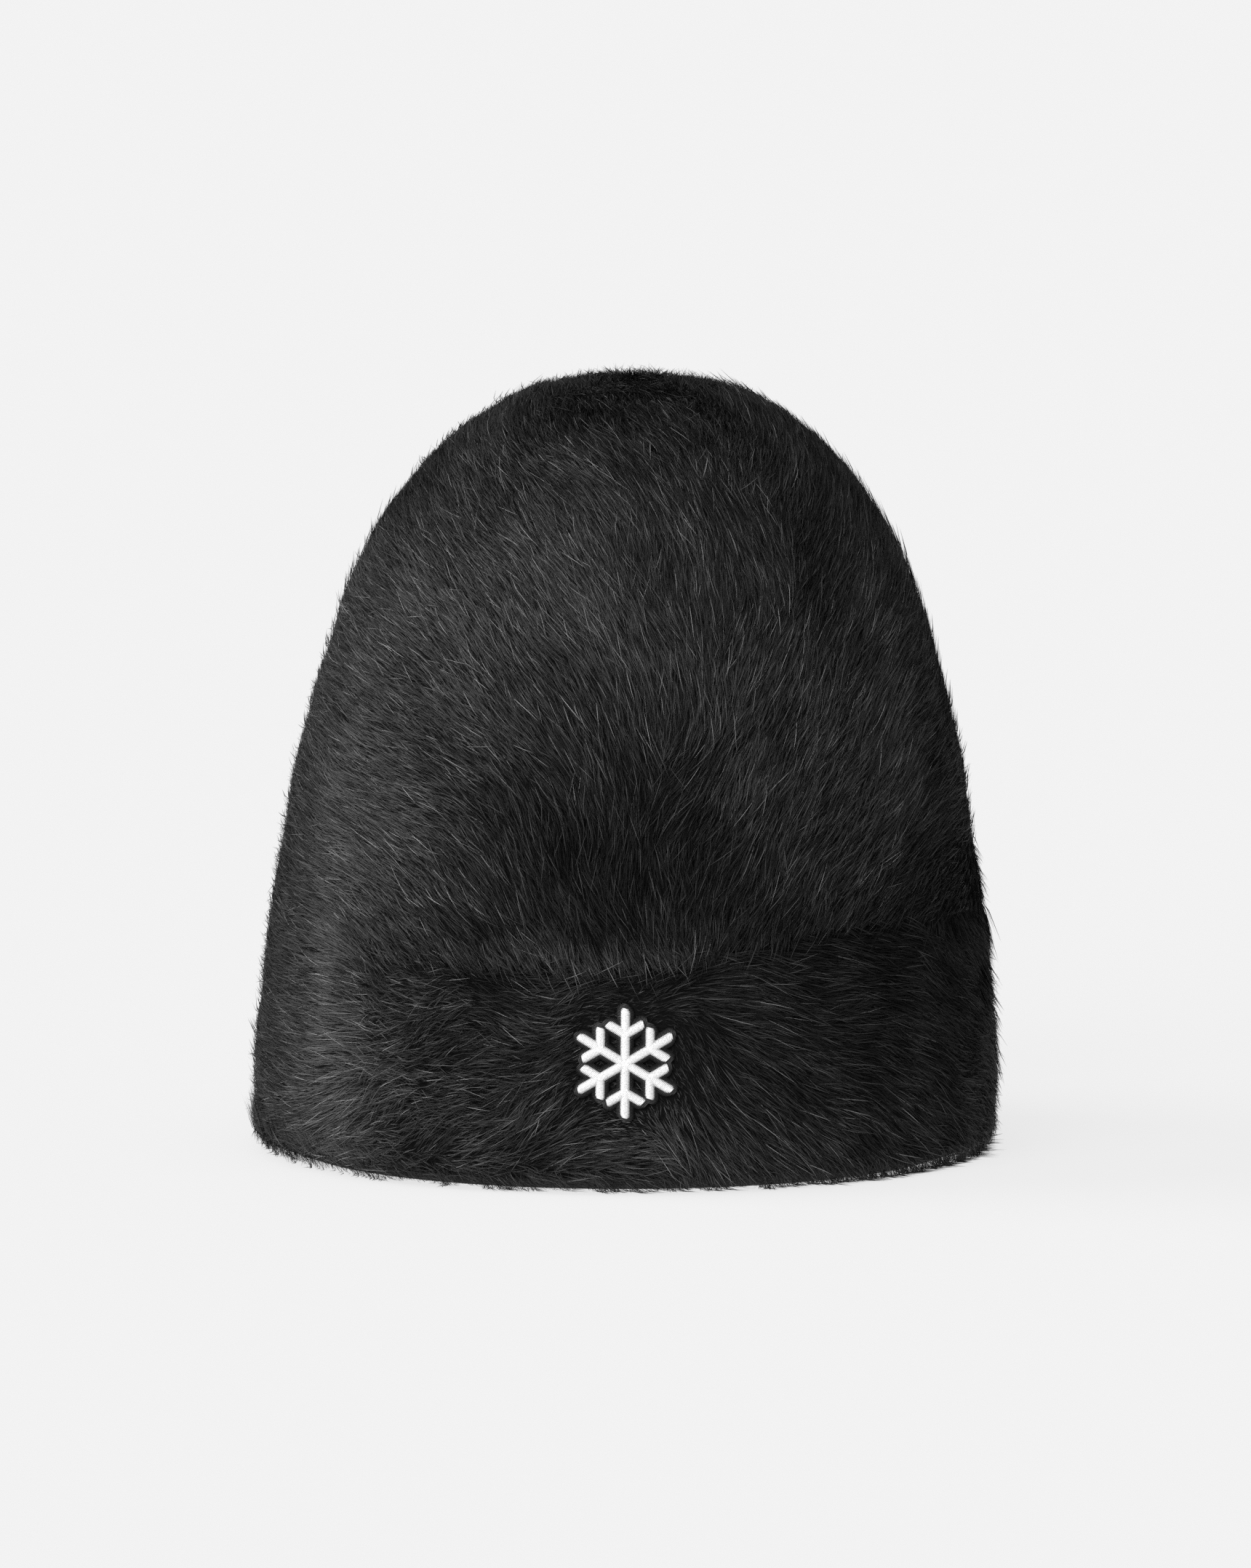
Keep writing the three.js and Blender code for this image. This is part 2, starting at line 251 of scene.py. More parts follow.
# Painted light and shade: paler patches of the pile on the front where light falls on it, and
# darker ones where shade falls: x, height, half width, half height, and the change in tone
PAINTED_LIGHT_AND_SHADE = [
    (-62.0, 116.0, 24.0, 36.0, 0.16),
    (-40.0, 139.0, 22.0, 24.0, 0.20),
    (-14.0, 152.0, 28.0, 26.0, 0.16),
    (2.0, 130.0, 24.0, 18.0, 0.08),
    (34.0, 122.0, 22.0, 20.0, 0.14),
    (60.0, 98.0, 20.0, 26.0, 0.16),
    (-60.0, 88.0, 18.0, 22.0, 0.24),
    (-60.0, 170.0, 17.0, 16.0, -0.30),
    (-12.0, 88.0, 26.0, 20.0, -0.23),
    (14.0, 80.0, 20.0, 16.0, -0.08),
    (-12.0, 61.0, 34.0, 4.5, 0.30),
    (-71.0, 34.0, 10.0, 44.0, 0.46),
    (-50.0, 22.0, 14.0, 16.0, 0.14),
    (-34.0, 164.0, 26.0, 12.0, 0.06),
    (-40.0, 68.0, 16.0, 12.0, -0.12),
    (0.0, 14.0, 60.0, 12.0, 0.20),
    (62.0, 52.0, 28.0, 14.0, -0.22),
    (60.0, 24.0, 30.0, 14.0, -0.14),
    (94.0, 40.0, 12.0, 44.0, -0.50),
    (-84.0, 100.0, 10.0, 50.0, -0.10),
    (86.0, 112.0, 12.0, 44.0, -0.24),
    (58.0, 178.0, 16.0, 24.0, -0.24),
    (0.0, 198.0, 44.0, 12.0, -0.18),
]

BACK_PAINTED_LIGHT = 0.13  # painted light: the back's pile is made paler, as pale as the front with its painted patches on the whole
FRONT_ENDS, BACK_BEGINS = -15.0, 45.0  # the y between which the front's painted light and shade fades out and the back's painted light comes in

# The embroidery, as the solids have it
EMBLEM_HEIGHT = 33.0
EMBLEM_ARM = 12.6
EMBLEM_TWIG = 4.4
EMBLEM_TWIG_ROOT = 7.2
EMBLEM_STITCH = 2.1
EMBLEM_BORDER = 1.1
GROUND_LOW, GROUND_HIGH = 0.35, 1.15
STITCH_LOW, STITCH_HIGH = 1.45, 2.5  # heights of the threads off the base of the pile


def smooth_curve(points, steps=40):
    """A uniform Catmull-Rom curve through the points."""
    padded = np.vstack([points[0], points, points[-1]])
    t = np.linspace(0, 1, steps, endpoint=False)[:, None]
    parts = []
    for p0, p1, p2, p3 in zip(padded, padded[1:], padded[2:], padded[3:]):
        v0, v1 = (p2 - p0) / 2, (p3 - p1) / 2
        cubic = (2 * p1 - 2 * p2 + v0 + v1) * t ** 3
        square = (3 * p2 - 3 * p1 - 2 * v0 - v1) * t ** 2
        parts.append(cubic + square + v0 * t + p1)
    return np.vstack(parts + [points[-1:]])


curve = smooth_curve(OUTLINE)
curve_steps = np.linalg.norm(np.diff(curve, axis=0), axis=1)
curve_length = curve_steps.sum()
curve_share = np.concatenate([[0], np.cumsum(curve_steps)]) / curve_length
curve_slope = np.gradient(curve, curve_share, axis=0)
curve_slope /= np.linalg.norm(curve_slope, axis=1, keepdims=True)


def smoothstep(value, low, high):
    """0 up to low, 1 from high on, and a soft step between them."""
    t = np.clip((value - low) / (high - low), 0, 1)
    return t * t * (3 - 2 * t)


def between(value, begins, full, ends, ended):
    """1 from full to ends, and 0 before begins and after ended."""
    return smoothstep(value, begins, full) * (1 - smoothstep(value, ends, ended))


def half_width_at(share):
    return np.interp(share, curve_share, curve[:, 1])


def share_at(height):
    return np.interp(-np.asarray(height, float), -curve[:, 0], curve_share)


def cuff_top_at(bearing):
    degrees = (np.degrees(bearing) + 180) % 360 - 180
    row = np.clip(np.searchsorted(CUFF_TOPS[:, 0], degrees, "right"), 1, len(CUFF_TOPS) - 1)
    (b0, h0), (b1, h1) = CUFF_TOPS[row - 1].T, CUFF_TOPS[row].T
    return h0 + (h1 - h0) * smoothstep(degrees, b0, b1)


def dent_depth(point):
    total = np.zeros(len(point))
    for x, height, half_width, half_height, depth, side in DENTS:
        across = (point[:, 0] - x) / half_width
        up = (point[:, 2] - height) / half_height
        here = (point[:, 1] < 0) == (side == "front")
        total += here * depth * np.exp(-across ** 2 - up ** 2)
    return total


def form(share, bearing, lift=0.0):
    """Points of the cap's form, lift millimetres off the base of the pile."""
    share, bearing, lift = np.broadcast_arrays(
        *(np.asarray(v, float) for v in (share, bearing, lift)))
    half_width = half_width_at(share)
    height = np.interp(share, curve_share, curve[:, 0])
    outward = -np.interp(share, curve_share, curve_slope[:, 0])
    upward = np.interp(share, curve_share, curve_slope[:, 1])
    off = lift - PILE_BASE
    sine, cosine = np.sin(bearing), np.cos(bearing)
    point = np.stack([
        (half_width + outward * off) * sine,
        -(half_width * DEPTH_RATIO + outward * off) * cosine,
        height + upward * off,
    ], axis=-1)
    dent = dent_depth(point.reshape(-1, 3)).reshape(half_width.shape)
    point[..., 0] -= dent * sine * outward
    point[..., 1] += dent * cosine * outward
    point[..., 0] += LEAN * smoothstep(point[..., 2], FOLD_TOP, OUTLINE[0, 0])
    return point


def unit(vectors):
    return vectors / np.maximum(np.linalg.norm(vectors, axis=-1, keepdims=True), 1e-9)


def surface_frame(share, bearing):
    """The form's point there, and its directions to the right, down and outward."""
    step = 0.002
    here = form(share, bearing)
    down = unit(form(share + step, bearing) - here)
    right = form(share, bearing + step) - form(share, bearing - step)
    right = unit(right - (right * down).sum(-1, keepdims=True) * down)
    return here, right, down, np.cross(down, right)


def comb_rows():
    """Each row of the combing as a place, a direction in space, and two angles."""
    places, ways, angles = [], [], []
    for x, height, turn, stand, ruffle in FRONT_COMB:
        share = share_at(height)
        lean = LEAN * smoothstep(height, FOLD_TOP, OUTLINE[0, 0])
        across = np.clip((x - lean) / half_width_at(share), -WIDEST_SHARE, WIDEST_SHARE)
        bearing = math.asin(across)
        here, right, down, _ = surface_frame(share, bearing)
        seen = (math.sin(math.radians(turn)), -math.cos(math.radians(turn)))
        along_down = seen[1] / min(down[2], -LEAST_SLOPE)
        along_right = (seen[0] - along_down * down[0]) / max(right[0], LEAST_SLOPE)
        places.append(here)
        ways.append(unit(along_right * right + along_down * down))
        angles.append((stand, ruffle))
    for degrees, height, turn, stand, ruffle in BACK_COMB:
        here, right, down, _ = surface_frame(share_at(height), math.radians(degrees))
        places.append(here)
        ways.append(math.sin(math.radians(turn)) * right + math.cos(math.radians(turn)) * down)
        angles.append((stand, ruffle))
    return np.array(places), np.array(ways), np.radians(angles)


comb_places, comb_ways, comb_angles = comb_rows()


def combing(share, bearing, on_cuff):
    """The turn, stand and ruffle of the combing at each place. The crown's rows
    have next to no say on the cuff, and the cuff's next to none on the crown."""
    here, right, down, _ = surface_frame(share, bearing)
    row_bearing = np.arctan2(comb_places[:, 0], -comb_places[:, 1] / DEPTH_RATIO)
    row_on_cuff = comb_places[:, 2] < cuff_top_at(row_bearing)
    square = ((here[:, None] - comb_places[None]) ** 2).sum(-1)
    weight = (square + COMB_REACH ** 2) ** -COMB_FALLOFF
    weight *= np.where(row_on_cuff[None] == on_cuff[:, None], 1.0, OTHER_SIDE_SAY)
    weight /= weight.sum(1, keepdims=True)
    way = weight @ comb_ways
    stand, ruffle = (weight @ comb_angles).T
    return np.arctan2((way * right).sum(1), (way * down).sum(1)), stand, ruffle


def ripple(point, wavelength, seed, waves=14):
    """A smooth field that waves between about -2 and 2, with that wavelength."""
    rng = np.random.default_rng(seed)
    ways = unit(rng.normal(size=(waves, 3)))
    pace = 2 * math.pi / (wavelength * rng.uniform(0.7, 1.4, waves))
    phase = rng.uniform(0, 2 * math.pi, waves)
    return np.sin(point @ (ways * pace[:, None]).T + phase).sum(1) * math.sqrt(2 / waves)


def waves(point, rows):
    """Ripples added up, from rows of strength, wavelength and seed."""
    return sum(strength * ripple(point, length, seed) for strength, length, seed in rows)


def on_emblem_face(share, bearing):
    """Where a point of the cuff's front lies on the emblem's flat face."""
    height = np.interp(share, curve_share, curve[:, 0])
    wrapped = (bearing + math.pi) % (2 * math.pi) - math.pi
    return wrapped * half_width_at(share), height - EMBLEM_HEIGHT


def snowflake_bars():
    """Both ends of each bar of the snowflake, on the emblem's face."""
    bars = []
    for arm in range(6):
        angle = math.pi / 6 + arm * math.pi / 3
        way = np.array([math.cos(angle), math.sin(angle)])
        bars.append((way * 0.0, way * EMBLEM_ARM))
        fork = way * EMBLEM_TWIG_ROOT
        for side in (-1, 1):
            turned = angle + side * math.pi / 3
            bars.append((fork, fork + EMBLEM_TWIG * np.array([math.cos(turned), math.sin(turned)])))
    return bars


def distance_to_snowflake(u, v):
    nearest = np.full(np.shape(u), 1e9)
    for start, end in snowflake_bars():
        along = end - start
        t = ((u - start[0]) * along[0] + (v - start[1]) * along[1]) / (along @ along)
        t = np.clip(t, 0, 1)
        away = np.hypot(u - start[0] - t * along[0], v - start[1] - t * along[1])
        nearest = np.minimum(nearest, away)
    return nearest


def new_mesh(name, vertices, loops, sizes, uv=None, smooth=True):
    """A mesh object from arrays: vertices in millimetres, each face's corners
    one after another in loops, and how many corners each face has."""
    mesh = bpy.data.meshes.new(name)
    mesh.vertices.add(len(vertices))
    mesh.vertices.foreach_set("co", (vertices * MM).astype(np.float32).ravel())
    mesh.loops.add(len(loops))
    mesh.loops.foreach_set("vertex_index", loops.astype(np.int32))
    mesh.polygons.add(len(sizes))
    starts = np.concatenate([[0], np.cumsum(sizes)[:-1]])
    mesh.polygons.foreach_set("loop_start", starts.astype(np.int32))
    mesh.polygons.foreach_set("use_smooth", np.full(len(sizes), smooth))
    if uv is not None:
        layer = mesh.uv_layers.new(name="OFBake")
        layer.data.foreach_set("uv", uv[loops].astype(np.float32).ravel())
    mesh.update()
    mesh.validate()
    piece = bpy.data.objects.new(name, mesh)
    bpy.context.scene.collection.objects.link(piece)
    return piece


def finish_piece(piece, slot, material, *nodes):
    piece.data.materials.append(material)
    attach(piece, "root")
    if nodes:
        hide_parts(*nodes)
    return piece


class Nodes:
    """A short way to write a material's node tree."""

    def __init__(self, name):
        self.material = bpy.data.materials.new(name)
        self.material.use_nodes = True
        self.tree = self.material.node_tree
        self.shader = self.tree.nodes["Principled BSDF"]

    def add(self, kind, **settings):
        node = self.tree.nodes.new("ShaderNode" + kind)
        for key, value in settings.items():
            if hasattr(node, key):
                setattr(node, key, value)
            else:
                node.inputs[key.replace("_", " ")].default_value = value
        return node

    def link(self, source, output, target, socket):
        self.tree.links.new(source.outputs[output], target.inputs[socket])

    def set(self, **values):
        for key, value in values.items():
            self.shader.inputs[key.replace("_", " ")].default_value = value


def ramp(nodes, stops):
    node = nodes.add("ValToRGB")
    elements = node.color_ramp.elements
    while len(elements) < len(stops):
        elements.new(1.0)
    for element, (place, tone) in zip(elements, stops):
        element.position = place
        element.color = (*tone, 1.0) if isinstance(tone, tuple) else (tone, tone, tone, 1.0)
    return node


# Strand tones, from the darkest to the rare pale guard hairs, across the UV; the guard hairs'
# paleness is painted highlight
TONE_STOPS = [(0.0, 0.005), (0.4, 0.023), (0.88, 0.085), (0.92, 0.12), (1.0, 0.34)]
PALEST_STRAND = 0.88  # above this place on the scale lie the guard hairs alone
TONE_STEPS = 32
STEP_MARGIN = 0.15  # a strand keeps off the edges of its step, which is 1 wide
ROOT_TO_TIP = [(0.0, 0.5), (0.45, 0.85), (1.0, 1.0)]  # roots are darker than tips


def pile_material():
    nodes = Nodes("black_pile")
    nodes.set(Roughness=0.42, IOR=1.5)
    nodes.shader.inputs["Specular IOR Level"].default_value = 0.04
    uv = nodes.add("UVMap", uv_map="OFBake")
    parts = nodes.add("SeparateXYZ")
    nodes.link(uv, "UV", parts, "Vector")
    tone = ramp(nodes, TONE_STOPS)
    nodes.link(parts, "X", tone, "Fac")
    shade = ramp(nodes, ROOT_TO_TIP)
    nodes.link(parts, "Y", shade, "Fac")
    mix = nodes.add("Mix", data_type="RGBA", blend_type="MULTIPLY")
    mix.inputs[0].default_value = 1.0
    nodes.tree.links.new(tone.outputs["Color"], mix.inputs[6])
    nodes.tree.links.new(shade.outputs["Color"], mix.inputs[7])
    nodes.tree.links.new(mix.outputs[2], nodes.shader.inputs["Base Color"])
    return nodes.material


def knit_material():
    nodes = Nodes("black_knit")
    nodes.set(Roughness=0.95)
    nodes.shader.inputs["Specular IOR Level"].default_value = 0.1
    place = nodes.add("TexCoord")
    rows = nodes.add("TexWave", wave_type="BANDS", bands_direction="Z", Scale=320.0, Distortion=1.5)
    nodes.link(place, "Object", rows, "Vector")
    fluff = nodes.add("TexNoise", Scale=900.0, Detail=4.0)
    nodes.link(place, "Object", fluff, "Vector")
    tone = ramp(nodes, [(0.2, 0.003), (0.8, 0.008)])
    nodes.link(fluff, "Fac", tone, "Fac")
    nodes.link(tone, "Color", nodes.shader, "Base Color")
    bump = nodes.add("Bump", Strength=0.6, Distance=0.0004)
    nodes.link(rows, "Fac", bump, "Height")
    nodes.link(bump, "Normal", nodes.shader, "Normal")
    return nodes.material


def thread_material(name, dark, pale, roughness):
    nodes = Nodes(name)
    nodes.set(Roughness=roughness)
    place = nodes.add("TexCoord")
    twist = nodes.add("TexNoise", Scale=2600.0, Detail=3.0)
    nodes.link(place, "Object", twist, "Vector")
    tone = ramp(nodes, [(0.3, dark), (0.7, pale)])
    nodes.link(twist, "Fac", tone, "Fac")
    nodes.link(tone, "Color", nodes.shader, "Base Color")
    bump = nodes.add("Bump", Strength=0.3, Distance=0.0001)
    nodes.link(twist, "Fac", bump, "Height")
    nodes.link(bump, "Normal", nodes.shader, "Normal")
    return nodes.material


def ring_loops(rings, columns, pole_first=False, pole_last=False):
    """Corners and sizes of the faces between rings of points, rings from the
    top down and columns round the cap, with poles after the last ring."""
    ring, column = np.meshgrid(np.arange(rings - 1), np.arange(columns), indexing="ij")
    after = (column + 1) % columns
    quads = np.stack([
        ring * columns + column,
        (ring + 1) * columns + column,
        (ring + 1) * columns + after,
        ring * columns + after,
    ], axis=-1).reshape(-1, 4)
    loops, sizes = [quads.ravel()], [np.full(len(quads), 4)]
    pole = rings * columns
    column = np.arange(columns)
    after = (column + 1) % columns
    if pole_first:
        fan = np.stack([np.full(columns, pole), column, after], axis=-1)
        loops.append(fan.ravel())
        sizes.append(np.full(columns, 3))
        pole += 1
    if pole_last:
        last = (rings - 1) * columns
        fan = np.stack([np.full(columns, pole), last + after, last + column], axis=-1)
        loops.append(fan.ravel())
        sizes.append(np.full(columns, 3))
    return np.concatenate(loops), np.concatenate(sizes)


def oval(half_width, bearing, height):
    return np.stack([
        half_width * np.sin(bearing),
        -half_width * DEPTH_RATIO * np.cos(bearing),
        np.broadcast_to(height, np.shape(bearing)).astype(float),
    ], axis=-1)


WALL_COLUMNS = 180
POLE_SHARE = 0.02  # the first ring round a pole
HOLLOW_SHARE = 0.74  # here the hollow's dome passes into the band
wall_bearings = np.arange(WALL_COLUMNS) * 2 * math.pi / WALL_COLUMNS


def inner_ring(share):
    """A ring of the hollow: the form less the wall, no wider than the band."""
    point = form(np.full(WALL_COLUMNS, share), wall_bearings, -WALL)
    limit = oval(HEAD_HALF_WIDTH, wall_bearings, point[:, 2])
    wide = np.hypot(point[:, 0], point[:, 1]) > np.hypot(limit[:, 0], limit[:, 1])
    return np.where(wide[:, None], limit, point)


def crown_wall(material):
    """The knit of the crown, which ends as a band behind the cuff."""
    top = cuff_top_at(wall_bearings)
    rings = [form(share_at(top + 1) * s, wall_bearings, -KNIT_DEPTH)
             for s in np.linspace(POLE_SHARE, 1, 46)]
    rings.append(oval(BAND_HALF_WIDTH + EDGE_BEVEL, wall_bearings, top))
    rings.append(oval(BAND_HALF_WIDTH, wall_bearings, top - EDGE_BEVEL))
    rings.append(oval(BAND_HALF_WIDTH, wall_bearings, FOLD_TOP))
    rings.append(oval(HEAD_HALF_WIDTH, wall_bearings, FOLD_TOP))
    rings.append(oval(HEAD_HALF_WIDTH, wall_bearings, BAND_TOP))
    rings += [inner_ring(share) for share in np.linspace(HOLLOW_SHARE, POLE_SHARE, 40)]
    poles = [form(0.0, 0.0, -KNIT_DEPTH), form(0.0, 0.0, -WALL)]
    loops, sizes = ring_loops(len(rings), WALL_COLUMNS, True, True)
    vertices = np.vstack(rings + [poles])
    return finish_piece(new_mesh("crown_wall", vertices, loops, sizes), "black_knit", material)


def cuff_wall(material):
    """The knit of the cuff: up the band, over the lip, down the outside and in
    under the fold."""
    top = cuff_top_at(wall_bearings)
    rings = [oval(BAND_HALF_WIDTH + SEAT_GAP, wall_bearings, FOLD_TOP - SEAT_GAP)]
    rings.append(oval(BAND_HALF_WIDTH + SEAT_GAP, wall_bearings, top - EDGE_BEVEL))
    rings.append(oval(BAND_HALF_WIDTH + LIP_START, wall_bearings, top))
    rings.append(form(share_at(top - LIP_ROUNDING), wall_bearings, -LIP_SUNK))
    for down in np.linspace(0, 1, 24):
        share = share_at((top - LIP_DROP) * (1 - down) + CUFF_BOTTOM * down)
        rings.append(form(share, wall_bearings, -KNIT_DEPTH))
    edge = half_width_at(share_at(0.0))
    rings += [oval(edge - inward, wall_bearings, height) for inward, height in UNDERSIDE]
    rings.append(oval(REST_INNER, wall_bearings, 0.0))
    rings.append(oval(HEAD_HALF_WIDTH, wall_bearings, REST_BEVEL))
    rings.append(oval(HEAD_HALF_WIDTH, wall_bearings, FOLD_TOP - SEAT_GAP))
    rings.append(rings[0])
    loops, sizes = ring_loops(len(rings) - 1, WALL_COLUMNS)
    last = (len(rings) - 2) * WALL_COLUMNS
    column = np.arange(WALL_COLUMNS)
    after = (column + 1) % WALL_COLUMNS
    closing = np.stack([last + column, column, after, last + after], axis=-1)
    loops = np.concatenate([loops, closing.ravel()])
    sizes = np.concatenate([sizes, np.full(WALL_COLUMNS, 4)])
    vertices = np.vstack(rings[:-1])
    return finish_piece(new_mesh("cuff_wall", vertices, loops, sizes), "black_knit", material)


# The pile: strands in tufts. Lengths and widths in millimetres, angles in radians.
TUFTS = 22500
STRANDS_PER_TUFT = 18
TUFT_RADIUS = 1.7
TUFT_CURL = 0.35  # of the ruffle: how much a tuft's turn and bend differ
TUFT_PULL = 0.08  # a tuft's strands close in by this share of their distance
RUFFLED_PULL = 1.5  # what each radian of ruffle adds to that share
TUFT_TONE_SPREAD = 0.05
SIDE_LENGTHENING = 0.5  # the pile is half as long again on the cap's sides
STRAND_LENGTH = 8.5
STRAND_WIDTH = 0.20
STRAND_SPREAD = math.radians(5.5)
STRAND_CURL = 0.035  # bend for each millimetre
STRAND_STAND_LIMITS = math.radians(3), math.radians(60)
STRAY_SHARE = 0.07
STRAY_STAND = math.radians(13)
SIDE_TIDINESS = 0.5  # strays stand half as far off on the cap's sides
ROOT_LIFT, TIP_LIFT = 1.7, 0.35  # a strand's slope at its ends, as shares of its stand
RIM_LIFT = 0.5  # how far it rises for each millimetre that it runs past the rim
GUARD_HAIRS = 14000
GUARD_LENGTH = 12.0
GUARD_WIDTH = 0.11
GUARD_SPREAD = math.radians(9)
GUARD_STAND_LIMITS = math.radians(4.5), math.radians(50)
GUARD_CURL = 0.05
GUARD_OFF_FLOOR = 2.5
GUARD_OFF_EDGE = 2.0  # none starts this near the cuff's edge
GUARD_HIGHLIGHT_TONES = 0.13  # how far their painted highlight spreads above the palest strand's tone
GUARD_IN_PAINTED_SHADE, GUARD_IN_PAINTED_LIGHT = 0.5, 0.2  # what they take of the patches' painted shade and painted light
FRINGE_HAIRS = 5000
FRINGE_LENGTH = 6.0
FRINGE_SPREAD = math.radians(22)
FRINGE_TURN = 0.4  # what is left of the combing's turn
FRINGE_STANDS = 8, 34  # degrees
FRINGE_CURL = 0.12
FRINGE_PALEST = 0.85
FRINGE_SHARES = 0.968, 0.996  # the hem, as shares of the outline
TOP_SHARE = 0.1  # near the apex the form is a ball of the next radius
TOP_RADIUS = 92.0
APEX_HALF_WIDTH = 7.0  # bearings are not stretched further near the apex
FIRST_SHARE, LAST_SHARE = 0.0004, 0.998  # strands stay between these
FIRST_ROOT = 0.0005

# Waves in the pile: strength, wavelength in millimetres, and seed
TURN_WAVES = [(0.8, 30, 5), (0.5, 10, 6)]  # in shares of the ruffle
STAND_WAVES = [(0.2, 16, 7)]  # in shares of the stand
TONE_WAVES = [(0.035, 24, 8), (0.035, 9, 9)]

# Bearings in degrees between which something holds: where it begins, holds in
# full, starts to end, and has ended. Those on the left are counted to the left.
HIDDEN_LEFT = 36, 52, 100, 130  # the pile hides the cuff's edge
HIDDEN_RIGHT = 45, 75, 105, 135
RIGHT_HIDES = 0.7  # how much of the edge it hides there
BACKWARD_LEFT = 26, 62, 120, 160  # strands lie the other way round
BACKWARD_RIGHT = 34, 60, 110, 150
BACKWARD_ABOVE = 8, 20  # on the right, this far above the cuff

# Where the crown's pile falls over the cuff's edge
EDGE_WAVE = 0.9  # how far the edge strays from its line
CREASE_PUFF = math.radians(20)
CREASE_PUFF_HEIGHT = 7.0  # the pile stands out above the edge over this height
LEAST_OVERLAP, MOST_OVERLAP = 0.3, 7.0
CREASE_THINNING = 0.8  # share of the strands left out just under the edge
CREASE_THIN_DEPTH, CREASE_THIN_HALF = 0.6, 0.9
EDGE_SHADOW = 0.14  # the cuff's tone is lower just under the edge
EDGE_SHADOW_DEPTH, EDGE_SHADOW_HALF = 3.5, 2.5

# The hem, where the pile hangs and ends near the floor
HEM_HANG = 2.0, 9.0  # hangs below the first height, and lies as combed above the second
HEM_TURN = 0.45  # what is left of its turn where it hangs
HEM_SPREAD = math.radians(20)
LOWEST = 0.25  # nothing reaches under the floor
HEM_UNEVENNESS = 1.8
HEM_WAVE = 0.5
HEM_ROUNDING = 6.0  # the hem turns in below this height
HEM_INSET = 4.0

# Round the emblem, as distances from the middle of its bars
CLEAR_SHORT, CLEAR_LONG = 2.5, 13.0  # the pile grows to its full length between these
CLEAR_SHORTEST = 0.25
CLEAR_PROP = math.radians(9)
CLEAR_PROP_NEAR, CLEAR_PROP_FAR = 7.0, 16.0


def scattered(count, seed):
    """Evenly scattered shares and bearings, the same number on equal areas."""
    index = np.arange(1, count + 1)
    golden = 1.32471795724474602596
    even = (seed * 0.37 + index / golden) % 1.0
    round_it = (seed * 0.61 + index / golden ** 2) % 1.0
    area = np.cumsum(half_width_at(curve_share) + 0.5)
    area = (area - area[0]) / (area[-1] - area[0])
    return np.interp(even, area, curve_share), (round_it * 2 - 1) * math.pi


def reach_round(share, bearing):
    """Millimetres on the surface for each radian of bearing."""
    half_width = np.maximum(half_width_at(share), APEX_HALF_WIDTH)
    return half_width * np.hypot(np.cos(bearing), DEPTH_RATIO * np.sin(bearing))


def crease_strength(bearing):
    """How clearly the cuff parts from the crown at a bearing, from 0 to 1. The pile
    hides its edge on the left side, and most of it on the right."""
    degrees = (np.degrees(bearing) + 180) % 360 - 180
    left = between(-degrees, *HIDDEN_LEFT)
    right = between(degrees, *HIDDEN_RIGHT)
    return (1 - left) * (1 - RIGHT_HIDES * right)


def lie(share, bearing, on_cuff):
    """Turn, stand, ruffle and tone of the pile at each place; the tone holds painted light and
    shade as well as its own waves.
    """
    place = form(share, bearing)
    turn, stand, ruffle = combing(share, bearing, on_cuff)
    turn = turn + ruffle * waves(place, TURN_WAVES)
    stand = stand * (1 + waves(place, STAND_WAVES))
    tone = waves(place, TONE_WAVES)
    back = smoothstep(place[:, 1], FRONT_ENDS, BACK_BEGINS)
    # painted light on the back
    tone += BACK_PAINTED_LIGHT * back
    # painted light and shade in patches on the front
    for x, height, half_width, half_height, change in PAINTED_LIGHT_AND_SHADE:
        across = (place[:, 0] - x) / half_width
        up = (place[:, 2] - height) / half_height
        tone += change * np.exp(-across ** 2 - up ** 2) * (1 - back)
    return turn, stand, ruffle, tone


def paths(share, bearing, turn, stand, size, bend, closing, stops):
    """Points along strands that start on the knit and lie along the form. Bend
    is for each millimetre of length, closing the millimetres towards the tuft."""
    across = reach_round(share, bearing)
    here, to_right, to_down, out = surface_frame(share, bearing)
    on_top = (share < TOP_SHARE)[:, None]
    low, high = np.sin(ROOT_LIFT * stand), np.sin(TIP_LIFT * stand)
    points = []
    for s in stops:
        forward = s * size * np.cos(stand)
        beside = s * s * (bend * size - closing)
        down = forward * np.cos(turn) - beside * np.sin(turn)
        right = forward * np.sin(turn) + beside * np.cos(turn)
        lift = size * (s * low + (s ** 2) / 2 * (high - low))
        at = share + down / curve_length
        over = np.maximum(at - LAST_SHARE, 0) * curve_length
        at = np.clip(at, FIRST_SHARE, LAST_SHARE)
        point = form(at, bearing + right / across, lift + RIM_LIFT * over)
        sunk = lift - (down ** 2 + right ** 2) / (2 * TOP_RADIUS)
        flat = here + down[:, None] * to_down + right[:, None] * to_right + sunk[:, None] * out
        points.append(np.where(on_top, flat, point))
    return points


def settle(points):
    """Ends the strands near the floor, each at a height of its own, and turns
    them in under the hem."""
    rng = np.random.default_rng(len(points))
    root = points[:, 0]
    lowest = LOWEST + HEM_UNEVENNESS * rng.beta(1.0, 1.8, len(points))
    lowest += HEM_WAVE * np.clip(0.4 + ripple(root * (1, 1, 0), 8, 12), 0, 2)
    drop = root[:, 2] - points[..., 2].min(1)
    kept = np.clip((root[:, 2] - lowest) / np.maximum(drop, 0.01), 0.05, 1)
    points = root[:, None] + (points - root[:, None]) * kept[:, None, None]
    points[..., 2] += np.maximum(lowest - root[:, 2], 0)[:, None]
    points[..., 2] = np.maximum(points[..., 2], LOWEST)
    inset = HEM_INSET * np.clip(1 - points[..., 2] / HEM_ROUNDING, 0, 1) ** 2
    out = np.hypot(points[..., 0], points[..., 1])
    points[..., :2] *= (1 - inset / np.maximum(out, 1))[..., None]
    return points


